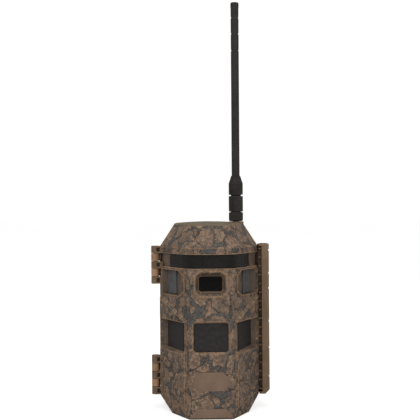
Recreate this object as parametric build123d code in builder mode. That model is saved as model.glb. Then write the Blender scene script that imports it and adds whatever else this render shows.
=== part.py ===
from build123d import *
import os
from math import atan2, cos, degrees, hypot, radians, sin, tan

os.makedirs("parts", exist_ok=True)

# Panoramic trail camera, standing upright. Millimetres, +Z up, the front faces -Y, +X is the viewer's right.
# The origin is the mouth of the tripod socket, in the middle of the flat base.

# ---- case ----
body_height = 165.0
half_width = 43.5
cover_depth = 45.0        # parting plane to the front face
rear_depth = 34.0         # parting plane to the back face
socket_inset = 14.0       # parting plane to the tripod socket's axis
wall = 2.5
facet_run = 25.0          # from the side wall in to the edge of the flat front face
side_wall = 1.7           # straight side wall between the parting plane and the slanted facet
corner_r = 3.5
cut_margin = 1.0          # how far a cutting solid runs past what it cuts
fit_gap = 0.2             # between a piece and the seat it drops into
swing_gap = 0.3           # between pieces that move past each other
running_gap = 0.05        # on the radius of a pin or shaft

front_half = half_width - facet_run
parting_y = -socket_inset
front_y = parting_y - cover_depth
rear_y = parting_y + rear_depth
facet_angle = degrees(atan2(cover_depth - side_wall, facet_run))
facet_length = hypot(cover_depth - side_wall, facet_run)

# ---- front outline: shoulders at the top, bevels at the bottom ----
shoulder_drop = 21.8
shoulder_run = 14.1
roof_crown = 1.3          # how much lower the roof's ends are than its middle
roof_fall = 2.5           # how much the cover's roof drops from the parting plane to the front
bevel_rise = 13.0
bevel_run = 11.2
top_half = half_width - shoulder_run
base_half = half_width - bevel_run
hood_z = body_height - shoulder_drop
top_depth = 31.5
hood_r = 22.0
top_r = 14.0
top_edge_r = 1.4

# ---- infrared band under the hood ----
brow_height = 5.4         # upright rim of the hood above the band
band_height = 11.7
band_recess = 2.2
band_window_proud = 1.1
band_window_half = 34.4
band_lap = 1.0            # how far the band's window overlaps the edge of its opening
brow_z = hood_z - brow_height
ledge_z = brow_z - band_height

# ---- lens windows ----
lens_z = 113.05
frame_width = 28.6
frame_height = 22.4
frame_corner = 4.3
frame_rim = 1.1
rim_proud = 0.6
glass_width = 20.1
glass_height = 12.9
glass_corner = 1.4
lens_pocket_depth = 4.0
pane_thick = 1.5
pane_lap = 1.6
side_frame_run = 20.5     # from the side wall in to the side windows and their panes
side_glass_run = 15.5
side_pane_margin = 7.8
side_glass_share = 0.378  # of the cover's depth, where the side glass starts
side_relief = 1.0         # the hinge side's wall stands back beside the lens window
pocket_floor_depth = 3.4  # the forward-facing end wall of a side recess, from the parting plane
side_frame_height = 21.4
side_pane_lap = 1.2
seat_lip = 1.2            # web beside and behind a window's pane
seat_reach = 4.0
seat_back = 1.1

# ---- passive infrared windows ----
pir_bottom = 56.0
pir_height = 24.4
pir_width = 29.1
pir_corner = 2.5
pir_recess = 2.3
pir_lens_thick = 1.0
side_pir_run = 21.1
side_pir_margin = 7.5
pir_floor_slope = 2.2
pir_lip = 1.1             # bevel round the sensor windows
pir_z = pir_bottom + pir_height / 2
side_frame_front = half_width - side_frame_run
side_glass_front = half_width - side_glass_run
side_glass_rear = half_width - side_pane_margin
side_glass_front_depth = side_glass_share * cover_depth
side_pir_front = half_width - side_pir_run
side_pir_rear = half_width - side_pir_margin

# ---- raised lower side panels ----
panel_proud = 1.4
panel_taper = 50
panel_edge = 1.0
crease_high = 101.0
crease_low = 82.5

# ---- plates on the front ----
emblem_z = 31.5
emblem_width = 30.0
emblem_height = 15.5
emblem_proud = 0.5
plate_bottom = 1.0
plate_top = 8.6
plate_top_width = 24.4
plate_low_width = 35.0
plate_proud = 1.0

# ---- hinges ----
hinge_offset = 4.1        # hinge axis outside the side wall
barrel_r = 3.6
pin_r = 1.5
knuckles = 5
upper_hinge_bottom = 110.5
upper_hinge_top = 143.9
lower_hinge_bottom = 12.8
lower_hinge_top = 47.1
knuckle_gap = 0.3
arm_flange = 1.4
pocket_width = 3.0
pocket_depth = 2.2
hinge_x = -half_width - hinge_offset
hinge_spans = (
    (upper_hinge_bottom, upper_hinge_top),
    (lower_hinge_bottom, lower_hinge_top),
)

# ---- latch lever ----
latch_gap = 2.9           # cover's side to the lever's front bar
latch_bar_width = 6.4
latch_bottom = 12.9
latch_top = 145.1
latch_wall = 2.5
latch_front_depth = 8.0   # how far the bar stands in front of the parting plane
latch_pivot_behind = 10.0
latch_barrel_r = 3.4
latch_rib_thick = 1.3
latch_rib_pitch = 7.74
latch_ribs = 17
latch_rib_start = 4.3
latch_rib_depth = 5.5
latch_corner = 4.0
latch_edge = 1.0
latch_cap = 1.8
latch_notches = (28.4, 53.8, 77.0, 105.9, 119.2, 139.7)
notch_depth = 0.6
notch_height = 1.6
latch_web = 1.4           # back wall behind the ribs
latch_rail = 2.1
latch_rail_thick = 1.5
latch_rail_behind = 2.9   # rail's middle, behind the parting plane
lug_arm = 5.0
latch_outer = half_width + latch_gap + latch_bar_width
latch_axis_x = latch_outer - latch_barrel_r
latch_axis_y = parting_y + latch_pivot_behind
latch_lug_height = 14.0
latch_lug_centres = (30.0, 79.0, 128.0)

# ---- antenna ----
antenna_x = 25.0
antenna_behind = 10.0
antenna_y = parting_y + antenna_behind
boss_r = 6.9
boss_drop = 0.2           # below the middle of the roof
boss_z = body_height - boss_drop
boss_depth = 8.0          # how far the boss reaches down inside the shoulder
connector_r = 3.1
nut_r = 6.4
nut_height = 8.3
nut_bore_step = 3.8
spigot_r = 4.4
sleeve_r = 6.4
sleeve_height = 14.1
joint_neck_r = 4.5
joint_neck_height = 1.0
upper_sleeve_height = 10.2
taper_height = 7.0
mast_r = 3.6
antenna_top = 362.0
tip_height = 4.4
ring_heights = (319.0, 334.0, 348.5)
ring_depth = 0.35
ring_width = 1.0
connector_tail = 6.0
connector_core_r = 0.7
connector_nut_r = 4.6
connector_nut_thick = 2.0
nut_edge = 0.9
nut_flutes = 24
flute_r = 0.5
sleeve_edge = 0.5
sleeve_lip = 0.5
tip_lip = 0.15

# ---- inner plate and electronics ----
plate_back = 0.3          # inner plate's outer face, in front of the parting plane
plate_thick = 1.6
plate_clear = 2.1
plate_inset = wall + band_recess + plate_clear
screw_r = 1.4
screw_head_r = 2.6
post_r = 3.0
post_bore = 7.0
post_run = 10.0           # side wall in to the lower screws
post_places = (
    (half_width - post_run, 36.0),
    (half_width - post_run, 91.0),
    (half_width - 2 * post_run, 150.0),
)
board_depth = 9.0
board_thick = 1.6
board_half = 28.0
board_bottom = 15.0
board_top = 95.0
lcd_width = 42.0
lcd_height = 32.0
lcd_thick = 3.0
lcd_z = 74.0
keypad_x = -13.0
keypad_z = 40.0
key_pitch = 9.5
key_r = 3.3
key_flange_r = 4.1
key_travel = 0.8
key_gap = 0.1
switch_x = 17.0
switch_throw = 3.0
knob_width = 5.0
knob_height = 4.0
card_x = 15.0
card_z = 22.0
card_width = 24.0
card_height = 14.0
card_thick = 2.1
card_skin = 0.6           # metal of the card's holder
card_stop = 1.0           # closed end of the holder
card_notch = 3.0

lcd_lap = 1.5
modem_z = 40.0
modem_width = 30.0
modem_height = 26.0
modem_thick = 3.0
modem_corner_r = 0.8
key_switch_tall = 2.5
key_switch_width = 6.0
key_edge_r = 0.4
key_proud = 0.9
key_flange_thick = 0.8
knob_proud = 1.2
switch_body_width = 13.0
switch_body_height = 7.0
switch_body_tall = 3.6
card_window = 6.0
screw_head_tall = 1.2

# ---- inside the cover ----
led_board_inset = 9.5
led_board_height = 8.6
led_board_thick = 1.2
led_r = 1.6
led_pitch = 5.5
led_facet_start = 13.0
led_board_margin = 0.5
led_tall = 2.6
barrel_gap = 0.6
centre_barrel_r = 7.0
centre_barrel_length = 14.0
side_pane_back = 3.0
side_pane_thick = 1.0
side_barrel_r = 3.8
side_barrel_length = 5.0
side_pir_thick = 0.8
pir_sensor_inset = 8.0
pir_side_inset = 6.0
pir_can_r = 4.6
pir_can_tall = 4.2
pir_board_height = 18.0
lens_barrel_wall = 1.0
lens_glass_inset = 1.0
lens_glass_thick = 2.0
sensor_board_thick = 1.2
sensor_board_margin = 2.0
plate_edge = 2.0
plate_taper = 20

# ---- rear half ----
rear_corner_r = 7.0
gasket_width = 1.6
gasket_depth = 1.5
gasket_inset = 1.0
rim_width = 4.0
insert_r = 4.5
insert_bore_r = 2.6
insert_length = 9.0
insert_boss_r = 7.5
strap_rib_x = 23.0
strap_rib_thick = 6.0
strap_rib_depth = 9.0
strap_rib_bottom = 42.0
strap_rib_top = 124.0
strap_slot_height = 28.0
strap_slot_depth = 5.2
strap_slot_floor = 0.8    # between the slot and the housing's back
strap_slot_z = 88.0
lock_hole_r = 3.2
lock_hole_z = 58.0
tooth_pitch = 6.0
tooth_height = 1.8
tooth_root = 0.2          # how far a tooth is sunk into its rib

# ---- batteries ----
cell_r = 7.15
cell_length = 49.2
cell_tip_r = 2.7
cell_tip_length = 1.2
cell_columns = 4
cell_rows = 2
cell_pitch = 16.6
tray_wall = 1.6
tray_bottom = 20.0
contact_thick = 0.6
contact_width = 10.0
contact_shift = 1.0
spring_r = 4.5
spring_wall = 0.8
tray_front = 4.0
spring_length = 4.0
cell_depth = 13.0         # cell axis behind the parting plane

# ---- power jack ----
jack_x = -24.0
jack_r = 4.0
jack_length = 14.0
jack_bore_r = 3.0
jack_body_margin = 3.0


def plan_point(x, depth):
    """A point in plan, depth measured forwards from the parting plane."""
    return (x, parting_y - depth)


def cover_plan(height, half, depth, radius, inset):
    """Half hexagon at a height, flat on the parting plane, with all its walls moved in by inset."""
    slope = tan(radians(facet_angle))
    front = half - (depth - side_wall) / slope - inset * tan(radians(facet_angle / 2))
    half = half - inset
    depth = depth - inset
    shoulder = depth - (half - front) * slope
    with BuildSketch(Plane.XY.offset(height)) as plan:
        with BuildLine():
            Polyline(
                plan_point(-half, 0),
                plan_point(-half, shoulder),
                plan_point(-front, depth),
                plan_point(front, depth),
                plan_point(half, shoulder),
                plan_point(half, 0),
                close=True,
            )
        make_face()
        fillet(vertices().group_by(Axis.Y)[0], radius)
    return plan.sketch


def cover_block(inset):
    """The cover's stacked outer form, or with an inset its hollow."""
    small_r = max(corner_r - inset, 1.0)
    large_r = hood_r - inset
    with BuildPart() as block:
        extrude(cover_plan(inset, half_width, cover_depth, small_r, inset), amount=ledge_z - inset)
        extrude(
            cover_plan(ledge_z, half_width, cover_depth, large_r, inset + band_recess),
            amount=band_height,
        )
        extrude(cover_plan(brow_z, half_width, cover_depth, large_r, inset), amount=brow_height)
        loft(
            sections=[
                cover_plan(hood_z, half_width, cover_depth, large_r, inset),
                cover_plan(body_height - inset, top_half, top_depth, top_r - inset, inset),
            ]
        )
        add(under_roof(inset), mode=Mode.INTERSECT)
    return block.part


def front_outline(plane, inset):
    """The case as seen from the front, with its edges moved in by inset."""
    bevel = atan2(bevel_rise, half_width - base_half)
    slope = atan2(shoulder_drop - roof_crown, shoulder_run)
    quarter = radians(45)
    low_x = base_half - inset * tan(bevel / 2)
    bevel_z = bevel_rise + inset * tan(quarter - bevel / 2)
    shoulder_z = hood_z - inset * tan(quarter - slope / 2)
    high_x = top_half - inset * tan(slope / 2)
    high_z = body_height - roof_crown - inset
    side_x = half_width - inset
    with BuildSketch(plane) as outline:
        with BuildLine():
            Polyline(
                (high_x, high_z),
                (side_x, shoulder_z),
                (side_x, bevel_z),
                (low_x, inset),
                (-low_x, inset),
                (-side_x, bevel_z),
                (-side_x, shoulder_z),
                (-high_x, high_z),
            )
            ThreePointArc((-high_x, high_z), (0, body_height - inset), (high_x, high_z))
        make_face()
    return outline.sketch


def under_roof(inset):
    """Everything below the cover's roof, which is crowned and falls towards the front."""
    fall = atan2(roof_fall, top_depth)
    ahead = Plane(
        origin=(0, parting_y, body_height - inset), x_dir=(1, 0, 0), z_dir=(0, -cos(fall), -sin(fall))
    )
    with BuildPart() as space:
        with BuildSketch(ahead):
            with BuildLine():
                Polyline(
                    (top_half, -roof_crown),
                    (2 * half_width, -2 * roof_crown),
                    (2 * half_width, -2 * body_height),
                    (-2 * half_width, -2 * body_height),
                    (-2 * half_width, -2 * roof_crown),
                    (-top_half, -roof_crown),
                )
                ThreePointArc((-top_half, -roof_crown), (0, 0), (top_half, -roof_crown))
            make_face()
        extrude(amount=2 * cover_depth, both=True)
    return space.part


def depth_plane(depth):
    """Upright plane at a depth in front of the parting plane; extruding it goes forwards."""
    return Plane(origin=(0, parting_y - depth, 0), x_dir=(1, 0, 0), z_dir=(0, -1, 0))


def tilted_plane(x, depth, turn):
    """Upright plane whose outward normal is turned from straight ahead towards +X."""
    across = (cos(radians(turn)), sin(radians(turn)), 0)
    ahead = (sin(radians(turn)), -cos(radians(turn)), 0)
    return Plane(origin=(x, parting_y - depth, 0), x_dir=across, z_dir=ahead)


def cut_rectangle(plane, centre_z, width, height, corner):
    """Rectangle on an upright plane with its corners cut off at 45 degrees."""
    with BuildSketch(plane) as frame:
        with Locations((0, centre_z)):
            chamfer(Rectangle(width, height).vertices(), corner)
    return frame.sketch


def wall_depth(x, z):
    """Depth of the cover's inner facet at a half-width and height."""
    rise = max(z - hood_z, 0) / shoulder_drop
    half = half_width - wall - rise * (half_width - top_half)
    return side_wall + (half - x) * tan(radians(facet_angle))


def save(builder, name):
    builder.part.label = name
    export_step(builder.part, "parts/" + name + ".step")


front_face = tilted_plane(0, cover_depth, 0)
right_facet = tilted_plane(front_half, cover_depth, facet_angle)
side_glass_turn = degrees(
    atan2(side_glass_front_depth - pocket_floor_depth, side_glass_rear - side_glass_front)
)
side_pir_front_depth = side_wall + (half_width - side_pir_front) * tan(radians(facet_angle)) - pir_recess
side_pir_turn = degrees(atan2(side_pir_front_depth - pocket_floor_depth, side_pir_rear - side_pir_front))
side_frame_front_depth = side_wall + (half_width - side_frame_front) * tan(radians(facet_angle))
side_glass_plane = tilted_plane(
    (side_glass_front + side_glass_rear) / 2,
    (side_glass_front_depth + pocket_floor_depth) / 2,
    side_glass_turn,
)
side_glass_length = hypot(side_glass_front_depth - pocket_floor_depth, side_glass_rear - side_glass_front)
side_pir_plane = tilted_plane(
    (side_pir_front + side_pir_rear) / 2,
    (side_pir_front_depth + pocket_floor_depth) / 2,
    side_pir_turn,
)
side_pir_length = hypot(side_pir_front_depth - pocket_floor_depth, side_pir_rear - side_pir_front)

# ======== right-hand recesses, cut on both sides ========
with BuildPart() as lens_scoop:
    with BuildSketch(Plane.XY.offset(lens_z - side_frame_height / 2)):
        with BuildLine():
            Polyline(
                plan_point(side_frame_front, side_frame_front_depth + cut_margin),
                plan_point(side_frame_front, side_frame_front_depth),
                plan_point(side_glass_front, side_glass_front_depth),
                plan_point(side_glass_rear, pocket_floor_depth),
                plan_point(half_width + cut_margin, pocket_floor_depth),
                plan_point(half_width + cut_margin, side_frame_front_depth + cut_margin),
                close=True,
            )
        make_face()
    extrude(amount=side_frame_height)
    with BuildSketch(depth_plane(0)):
        with BuildLine():
            Polyline(
                (side_frame_front, lens_z - side_frame_height / 2 + frame_corner),
                (side_frame_front + frame_corner, lens_z - side_frame_height / 2),
                (half_width + 2 * cut_margin, lens_z - side_frame_height / 2),
                (half_width + 2 * cut_margin, lens_z + side_frame_height / 2),
                (side_frame_front + frame_corner, lens_z + side_frame_height / 2),
                (side_frame_front, lens_z + side_frame_height / 2 - frame_corner),
                close=True,
            )
        make_face()
    extrude(amount=cover_depth + cut_margin, mode=Mode.INTERSECT)

with BuildPart() as pir_scoop:
    for low, high, spread in (
        (pir_bottom, pir_bottom + pir_height, 0.0),
        (pir_bottom - pir_floor_slope, pir_bottom, pir_floor_slope),
    ):
        with BuildSketch(Plane.XY.offset(high)):
            with BuildLine():
                Polyline(
                    plan_point(side_pir_front - 2 * pir_lip, side_pir_front_depth + 3 * pir_recess),
                    plan_point(side_pir_front - pir_lip, side_pir_front_depth + pir_recess),
                    plan_point(side_pir_front, side_pir_front_depth + pir_lip),
                    plan_point(side_pir_front, side_pir_front_depth),
                    plan_point(side_pir_rear, pocket_floor_depth),
                    plan_point(half_width + cut_margin, pocket_floor_depth),
                    plan_point(half_width + cut_margin, side_pir_front_depth + 3 * pir_recess),
                    close=True,
                )
            make_face()
        if spread == 0.0:
            extrude(amount=low - high)
        else:
            with BuildSketch(Plane.XY.offset(low)):
                with BuildLine():
                    Polyline(
                        plan_point(side_pir_front + spread - pir_lip, side_pir_front_depth + 3 * pir_recess),
                        plan_point(side_pir_front + spread, side_pir_front_depth + pir_recess),
                        plan_point(side_pir_front + 1.1 * spread, side_pir_front_depth + 1.5 * pir_lip),
                        plan_point(side_pir_front + 1.2 * spread, side_pir_front_depth + pir_lip),
                        plan_point(side_pir_rear + 2.4 * spread, pocket_floor_depth + cut_margin),
                        plan_point(half_width + cut_margin, pocket_floor_depth),
                        plan_point(half_width + cut_margin, side_pir_front_depth + 3 * pir_recess),
                        close=True,
                    )
                make_face()
            loft()

# ======== front cover ========
with BuildPart() as cover_hollow:
    add(cover_block(wall))
    extrude(front_outline(depth_plane(0), wall), amount=cover_depth, mode=Mode.INTERSECT)

with BuildPart() as lens_rim:
    # thin raised edge round the side window's front end, following the facet
    with BuildSketch(right_facet.offset(-cut_margin)):
        with Locations((facet_length / 2, lens_z)):
            Rectangle(facet_length - 2 * cut_margin, frame_height)
    extrude(amount=cut_margin + rim_proud)
    with BuildSketch(depth_plane(0)):
        with BuildLine():
            Polyline(
                (side_frame_front - frame_rim, lens_z - frame_height / 2 + frame_corner),
                (side_frame_front - frame_rim + frame_corner, lens_z - frame_height / 2),
                (half_width, lens_z - frame_height / 2),
                (half_width, lens_z + frame_height / 2),
                (side_frame_front - frame_rim + frame_corner, lens_z + frame_height / 2),
                (side_frame_front - frame_rim, lens_z + frame_height / 2 - frame_corner),
                close=True,
            )
        make_face()
    extrude(amount=cover_depth + cut_margin, mode=Mode.INTERSECT)

with BuildPart() as side_panel:
    # lower side panel, a little proud, with a slanting crease along its top
    with BuildSketch(right_facet):
        with BuildLine():
            Polyline(
                (corner_r + panel_edge, bevel_rise / 2),
                (facet_length - fit_gap, bevel_rise + 2 * panel_edge),
                (facet_length - fit_gap, crease_high),
                (corner_r + panel_edge, crease_low),
                close=True,
            )
        make_face()
    extrude(amount=panel_proud, taper=panel_taper)

with BuildPart() as window_seats:
    # blocks inside the cover that carry the lens and sensor windows
    extrude(
        cut_rectangle(
            front_face, lens_z, frame_width + 2 * seat_lip, frame_height + 2 * seat_lip, frame_corner
        ),
        amount=-(lens_pocket_depth + pane_thick + seat_lip),
    )
    with BuildSketch(front_face):
        with Locations((0, pir_z)):
            Rectangle(pir_width + 4 * pir_lip, pir_height + 4 * pir_lip)
    extrude(amount=-(pir_recess + pir_lens_thick + seat_lip))
    for scoop, glass_x, glass_depth, rear_x in (
        (lens_scoop, side_glass_front, side_glass_front_depth, side_glass_rear),
        (pir_scoop, side_pir_front, side_pir_front_depth, side_pir_rear),
    ):
        seat_box = scoop.part.bounding_box()
        with BuildSketch(Plane.XY.offset(seat_box.min.Z - seat_lip)):
            with BuildLine():
                Polyline(
                    plan_point(glass_x - seat_reach, glass_depth - seat_lip),
                    plan_point(rear_x - seat_reach, pocket_floor_depth - seat_back),
                    plan_point(half_width, pocket_floor_depth - seat_back),
                    plan_point(half_width, cover_depth),
                    plan_point(seat_box.min.X - wall, cover_depth),
                    plan_point(seat_box.min.X - wall, glass_depth),
                    close=True,
                )
            make_face()
        side_seat = extrude(amount=seat_box.size.Z + 2 * seat_lip)
        mirror(side_seat, about=Plane.YZ)
    add(cover_block(0), mode=Mode.INTERSECT)

with BuildPart() as window_cuts:
    # centre lens: sloping scoop, opening, and the pane's rebate behind it
    loft(
        sections=[
            cut_rectangle(
                front_face.offset(rim_proud), lens_z,
                frame_width - 2 * frame_rim, frame_height - 2 * frame_rim, frame_corner - frame_rim / 2,
            ),
            cut_rectangle(
                front_face.offset(-lens_pocket_depth), lens_z, glass_width, glass_height, glass_corner
            ),
        ]
    )
    with BuildSketch(front_face.offset(-lens_pocket_depth)):
        with Locations((0, lens_z)):
            Rectangle(glass_width + 2 * pane_lap, glass_height + 2 * pane_lap)
    extrude(amount=-(pane_thick + 3 * wall))
    # centre sensor: bevelled, rounded recess and its window's rebate
    with BuildSketch(front_face):
        with Locations((0, pir_z)):
            RectangleRounded(pir_width + 2 * pir_lip, pir_height + 2 * pir_lip, pir_corner + pir_lip)
    with BuildSketch(front_face.offset(-pir_lip)):
        with Locations((0, pir_z)):
            RectangleRounded(pir_width, pir_height, pir_corner)
    loft()
    with BuildSketch(front_face):
        with Locations((0, pir_z)):
            RectangleRounded(pir_width, pir_height, pir_corner)
    extrude(amount=-(pir_recess + pir_lens_thick + 3 * wall))
    # side windows: scoops, and rebates for the panes
    for scoop in (lens_scoop, pir_scoop):
        add(scoop.part)
        add(mirror(scoop.part, about=Plane.YZ, mode=Mode.PRIVATE))
    for plane, middle_z, length, height, thick in (
        (side_glass_plane, lens_z, side_glass_length, glass_height, pane_thick),
        (side_pir_plane, pir_z, side_pir_length, pir_height, pir_lens_thick),
    ):
        with BuildSketch(plane):
            with Locations((0, middle_z)):
                Rectangle(length - 2 * side_pane_lap, height - 2 * side_pane_lap)
        through = extrude(amount=-4 * wall)
        mirror(through, about=Plane.YZ)

with BuildPart() as front_cover:
    add(cover_block(0))
    roof_edges = faces().sort_by(Axis.Z)[-1].edges()
    fillet(roof_edges.filter_by_position(Axis.Y, front_y, parting_y - side_wall / 2), top_edge_r)
    add(side_panel.part)
    add(mirror(side_panel.part, about=Plane.YZ, mode=Mode.PRIVATE))
    add(lens_rim.part)
    add(mirror(lens_rim.part, about=Plane.YZ, mode=Mode.PRIVATE))
    extrude(
        cut_rectangle(front_face, lens_z, frame_width, frame_height, frame_corner), amount=rim_proud
    )
    extrude(
        front_outline(depth_plane(0), -panel_proud / 2), amount=2 * cover_depth, mode=Mode.INTERSECT
    )
    add(cover_hollow.part, mode=Mode.SUBTRACT)
    add(window_seats.part)
    add(window_cuts.part, mode=Mode.SUBTRACT)
    # the hinge side's wall stands back beside the lens window
    with BuildSketch(depth_plane(0)):
        with BuildLine():
            Polyline(
                (side_relief - half_width, ledge_z),
                (side_relief - half_width, crease_high - side_relief),
                (-side_relief - half_width, crease_high - 3 * side_relief),
                (-side_relief - half_width, ledge_z),
                close=True,
            )
        make_face()
    extrude(amount=cover_depth / 2, mode=Mode.SUBTRACT)
    # opening of the infrared band
    band_cut = extrude(
        cover_plan(brow_z - band_lap, half_width, cover_depth, hood_r - band_recess, band_recess),
        amount=-(band_height - 2 * band_lap), mode=Mode.PRIVATE,
    )
    with BuildSketch(depth_plane(side_wall + 2 * wall)):
        with Locations((0, (brow_z + ledge_z) / 2)):
            Rectangle(2 * (band_window_half - band_lap), band_height - 2 * band_lap)
    band_block = extrude(amount=cover_depth, mode=Mode.PRIVATE)
    add(band_cut & band_block, mode=Mode.SUBTRACT)
save(front_cover, "front_cover")

with BuildPart() as cover_posts:
    # screw posts for the inner plate, moulded with the cover
    for post_x, post_z in post_places:
        with BuildSketch(depth_plane(plate_back + plate_thick)):
            with Locations((post_x, post_z), (-post_x, post_z)):
                Circle(post_r)
        extrude(amount=wall_depth(post_x + post_r / 2, post_z) - plate_thick)
        with BuildSketch(depth_plane(plate_back + plate_thick)):
            with Locations((post_x, post_z), (-post_x, post_z)):
                Circle(screw_r)
        extrude(amount=post_bore, mode=Mode.SUBTRACT)
    add(front_cover.part, mode=Mode.SUBTRACT)
save(cover_posts, "cover_posts")

with BuildPart() as cover_knuckles:
    # outer knuckles of both hinges, each on a pocketed arm moulded with the cover
    for low, high in hinge_spans:
        pitch = (high - low) / knuckles
        for number in range(0, knuckles, 2):
            z = low + number * pitch + (knuckle_gap if number else 0)
            tall = pitch - knuckle_gap * (2 if 0 < number < knuckles - 1 else 1)
            with BuildSketch(Plane.XY.offset(z)):
                with Locations((hinge_x, parting_y)):
                    Circle(barrel_r)
                with BuildLine():
                    Polyline(
                        (hinge_x, parting_y),
                        (hinge_x, parting_y - barrel_r),
                        (-half_width + wall, parting_y - barrel_r),
                        (-half_width + wall, parting_y),
                        close=True,
                    )
                make_face()
            extrude(amount=tall)
            with BuildSketch(Plane.XY.offset(z + arm_flange)):
                with Locations((-half_width - pocket_width / 2, parting_y - barrel_r)):
                    Rectangle(pocket_width, 2 * pocket_depth)
            extrude(amount=tall - 2 * arm_flange, mode=Mode.SUBTRACT)
        with BuildSketch(Plane.XY.offset(low)):
            with Locations((hinge_x, parting_y)):
                Circle(pin_r + running_gap)
        extrude(amount=high - low, mode=Mode.SUBTRACT)
    add(front_cover.part, mode=Mode.SUBTRACT)
save(cover_knuckles, "cover_knuckles")

# ======== rear housing ========
with BuildPart() as rear_housing:
    extrude(front_outline(depth_plane(0), 0), amount=-rear_depth)
    fillet(edges().group_by(Axis.Y)[-1], rear_corner_r)
    with BuildSketch(Plane.XY.offset(boss_z)):
        with Locations((antenna_x, antenna_y)):
            Circle(boss_r)
    extrude(amount=-shoulder_drop / 2)
    extrude(front_outline(depth_plane(0), wall), amount=-(rear_depth - wall), mode=Mode.SUBTRACT)
    with BuildSketch(Plane.XY.offset(body_height - wall)):
        with Locations((antenna_x, antenna_y)):
            Circle(boss_r - wall)
    extrude(amount=wall - boss_depth)
    # thicker rim that carries the gasket
    rim = extrude(front_outline(depth_plane(0), 0), amount=-2 * gasket_depth, mode=Mode.PRIVATE)
    rim_hole = extrude(front_outline(depth_plane(0), rim_width), amount=-2 * gasket_depth, mode=Mode.PRIVATE)
    add(rim - rim_hole)
    groove = extrude(front_outline(depth_plane(0), gasket_inset), amount=-gasket_depth, mode=Mode.PRIVATE)
    groove_core = extrude(
        front_outline(depth_plane(0), gasket_inset + gasket_width), amount=-gasket_depth, mode=Mode.PRIVATE
    )
    add(groove - groove_core, mode=Mode.SUBTRACT)
    # tripod insert's boss
    with BuildSketch():
        Circle(insert_boss_r)
    extrude(amount=insert_length + wall)
    with BuildSketch():
        Circle(insert_r)
    extrude(amount=insert_length, mode=Mode.SUBTRACT)
    # antenna connector's hole
    with BuildSketch(Plane.XY.offset(boss_z)):
        with Locations((antenna_x, antenna_y)):
            Circle(connector_r)
    extrude(amount=-shoulder_drop, mode=Mode.SUBTRACT)
    # power jack's hole
    with BuildSketch():
        with Locations((jack_x, 0)):
            Circle(jack_r)
    extrude(amount=wall, mode=Mode.SUBTRACT)
save(rear_housing, "rear_housing")

with BuildPart() as strap_ribs:
    # toothed ribs on the back, moulded with the housing
    for side in (-1, 1):
        rib_x = side * strap_rib_x
        with BuildSketch(Plane.YZ.offset(rib_x - strap_rib_thick / 2)):
            with BuildLine():
                Polyline(
                    (rear_y, strap_rib_bottom - strap_rib_depth + wall),
                    (rear_y + strap_rib_depth, strap_rib_bottom),
                    (rear_y + strap_rib_depth, strap_rib_top),
                    (rear_y, strap_rib_top + strap_rib_depth - wall),
                    close=True,
                )
            make_face()
            with Locations((rear_y + strap_slot_depth / 2 + strap_slot_floor, strap_slot_z)):
                Rectangle(strap_slot_depth, strap_slot_height, mode=Mode.SUBTRACT)
            with Locations((rear_y + strap_rib_depth / 2, lock_hole_z)):
                Circle(lock_hole_r, mode=Mode.SUBTRACT)
        extrude(amount=strap_rib_thick)
        teeth = int((strap_rib_top - strap_rib_bottom) / tooth_pitch)
        for tooth in range(teeth):
            tooth_z = strap_rib_bottom + (tooth + 0.5) * tooth_pitch
            with BuildSketch(Plane.YZ.offset(rib_x - strap_rib_thick / 2)):
                with BuildLine():
                    Polyline(
                        (rear_y + strap_rib_depth - tooth_root, tooth_z - tooth_pitch / 2),
                        (rear_y + strap_rib_depth + tooth_height, tooth_z),
                        (rear_y + strap_rib_depth - tooth_root, tooth_z + tooth_pitch / 2),
                        close=True,
                    )
                make_face()
            extrude(amount=strap_rib_thick)
save(strap_ribs, "strap_ribs")

with BuildPart() as case_knuckles:
    # inner knuckles of both hinges, moulded with the housing
    for low, high in hinge_spans:
        pitch = (high - low) / knuckles
        for number in range(1, knuckles, 2):
            with BuildSketch(Plane.XY.offset(low + number * pitch + knuckle_gap / 2)):
                with Locations((hinge_x, parting_y)):
                    Circle(barrel_r)
                with BuildLine():
                    Polyline(
                        (hinge_x, parting_y),
                        (-half_width, parting_y),
                        (-half_width, parting_y + 2 * barrel_r),
                        (hinge_x, parting_y + barrel_r),
                        close=True,
                    )
                make_face()
            extrude(amount=pitch - knuckle_gap)
        with BuildSketch(Plane.XY.offset(low)):
            with Locations((hinge_x, parting_y)):
                Circle(pin_r)
        extrude(amount=high - low, mode=Mode.SUBTRACT)
save(case_knuckles, "case_knuckles")

with BuildPart() as latch_lugs:
    # lugs that carry the latch's pin and the rail behind its back wall, moulded with the housing
    with BuildSketch(Plane.XY.offset(latch_bottom)):
        with Locations((half_width + latch_rail / 2, parting_y + latch_rail_behind)):
            Rectangle(latch_rail, latch_rail_thick)
    extrude(amount=latch_top - latch_bottom)
    for lug_z in latch_lug_centres:
        with BuildSketch(Plane.XY.offset(lug_z - latch_lug_height / 2)):
            with Locations((latch_axis_x, latch_axis_y)):
                Circle(latch_barrel_r)
            with Locations(((latch_axis_x + half_width) / 2, latch_axis_y)):
                Rectangle(latch_axis_x - half_width, lug_arm)
        extrude(amount=latch_lug_height)
    with BuildSketch(Plane.XY.offset(latch_bottom)):
        with Locations((latch_axis_x, latch_axis_y)):
            Circle(pin_r)
    extrude(amount=latch_top - latch_bottom, mode=Mode.SUBTRACT)
save(latch_lugs, "latch_lugs")

with BuildPart() as gasket:
    add(groove - groove_core)
save(gasket, "gasket")

with BuildPart() as tripod_insert:
    with BuildSketch():
        RegularPolygon(insert_r, 12)
        Circle(insert_bore_r, mode=Mode.SUBTRACT)
    extrude(amount=insert_length)
save(tripod_insert, "tripod_insert")

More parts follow.
